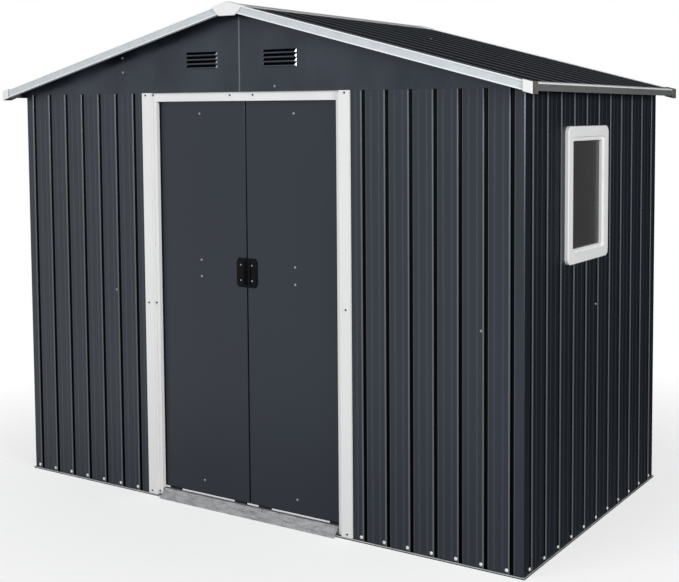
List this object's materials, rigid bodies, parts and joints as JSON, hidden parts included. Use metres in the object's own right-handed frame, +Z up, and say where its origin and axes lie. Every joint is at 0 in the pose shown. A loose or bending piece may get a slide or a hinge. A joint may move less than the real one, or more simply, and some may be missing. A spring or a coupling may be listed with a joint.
{
  "type": "metal storage shed",
  "caption": "Small ribbed sheet-metal storage shed with a gable roof, double sliding doors in the long front, louvre vents in the gable and a framed window in one end wall.",
  "frame": {"origin": "on the ground at the middle of the plan", "axes": "+X to the right along the front, +Y from the front to the back, +Z up; the doorway is in the -Y side"},
  "size_m": [2.376, 1.334, 1.871],
  "materials": {
    "wall_sheet": "satin",
    "gable_sheet": "satin",
    "roof_sheet": "satin",
    "door_sheet": "satin",
    "white_trim": "satin",
    "white_plastic": "matte",
    "galvanised": "galvanised",
    "handle": "matte",
    "nylon": "matte",
    "pane": "clear"
  },
  "bodies": {
    "shed": {"back_gable_left": "gable_sheet", "back_gable_right": "gable_sheet", "back_wall_left": "wall_sheet", "back_wall_right": "wall_sheet", "corner_back_left": "wall_sheet", "corner_back_right": "wall_sheet", "corner_front_left": "wall_sheet", "corner_front_right": "wall_sheet", "door_guide": "galvanised", "door_header": "white_trim", "door_jamb_left": "white_trim", "door_jamb_right": "white_trim", "door_sill": "galvanised", "door_track": "galvanised", "eave_corner_caps": "white_plastic", "eave_trims": "white_trim", "floor_rail_back": "galvanised", "floor_rail_front": "galvanised", "floor_rail_left": "galvanised", "floor_rail_right": "galvanised", "front_gable_left": "gable_sheet", "front_gable_right": "gable_sheet", "front_wall_left": "wall_sheet", "front_wall_right": "wall_sheet", "left_wall_back": "wall_sheet", "left_wall_front": "wall_sheet", "purlins": "galvanised", "rake_trims": "white_trim", "ridge_beam": "galvanised", "ridge_cap": "white_trim", "ridge_end_caps": "white_plastic", "right_wall_back": "wall_sheet", "right_wall_front": "wall_sheet", "right_wall_window": "wall_sheet", "roof_sheet_left": "roof_sheet", "roof_sheet_right": "roof_sheet", "top_rails": "galvanised", "window_frame": "white_plastic", "window_pane": "pane"},
    "left_door": {"left_door_braces": "galvanised", "left_door_glides": "nylon", "left_door_handle": "handle", "left_door_leaf": "door_sheet"},
    "right_door": {"right_door_braces": "galvanised", "right_door_glides": "nylon", "right_door_handle": "handle", "right_door_leaf": "door_sheet"}
  },
  "joints": [
    {"name": "left_door_slide", "type": "slide", "parent": "shed", "child": "left_door", "axis": [-1, 0, 0], "range_m": [0, 0.36]},
    {"name": "right_door_slide", "type": "slide", "parent": "shed", "child": "right_door", "axis": [1, 0, 0], "range_m": [0, 0.36]}
  ]
}
